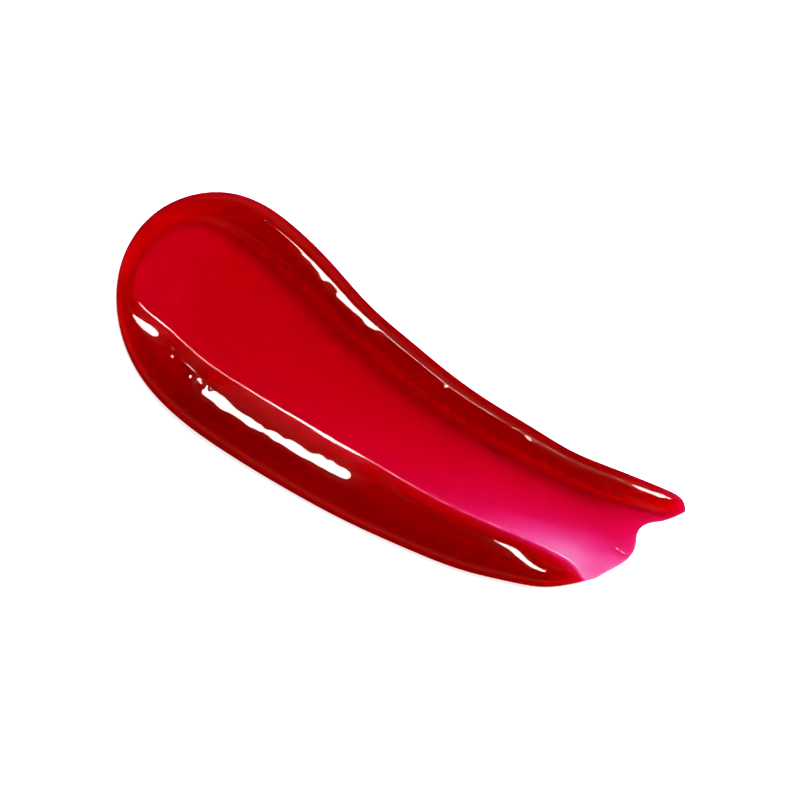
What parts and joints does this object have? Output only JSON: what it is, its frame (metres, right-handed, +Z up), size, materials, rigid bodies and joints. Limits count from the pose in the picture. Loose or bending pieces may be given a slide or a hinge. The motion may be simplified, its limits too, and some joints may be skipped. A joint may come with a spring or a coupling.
{
  "type": "lip gloss smear",
  "caption": "Smear of clear red lip gloss with a round head, a raised bead along each side, a thin trough between them and a torn, feathered tail. It lies on its flat underside.",
  "frame": {"origin": "middle of the flat underside, at the centre of the box", "axes": "+X along the stroke from the round head to the torn tail, +Y across it towards the narrower bead, +Z up from the surface it lies on"},
  "size_m": [0.036, 0.0138, 0.0015],
  "materials": {
    "gloss_gel": "wet, clear, deep red gel, pink where it is thin"
  },
  "bodies": {
    "root": {"gloss_smear": "gloss_gel"}
  },
  "joints": []
}
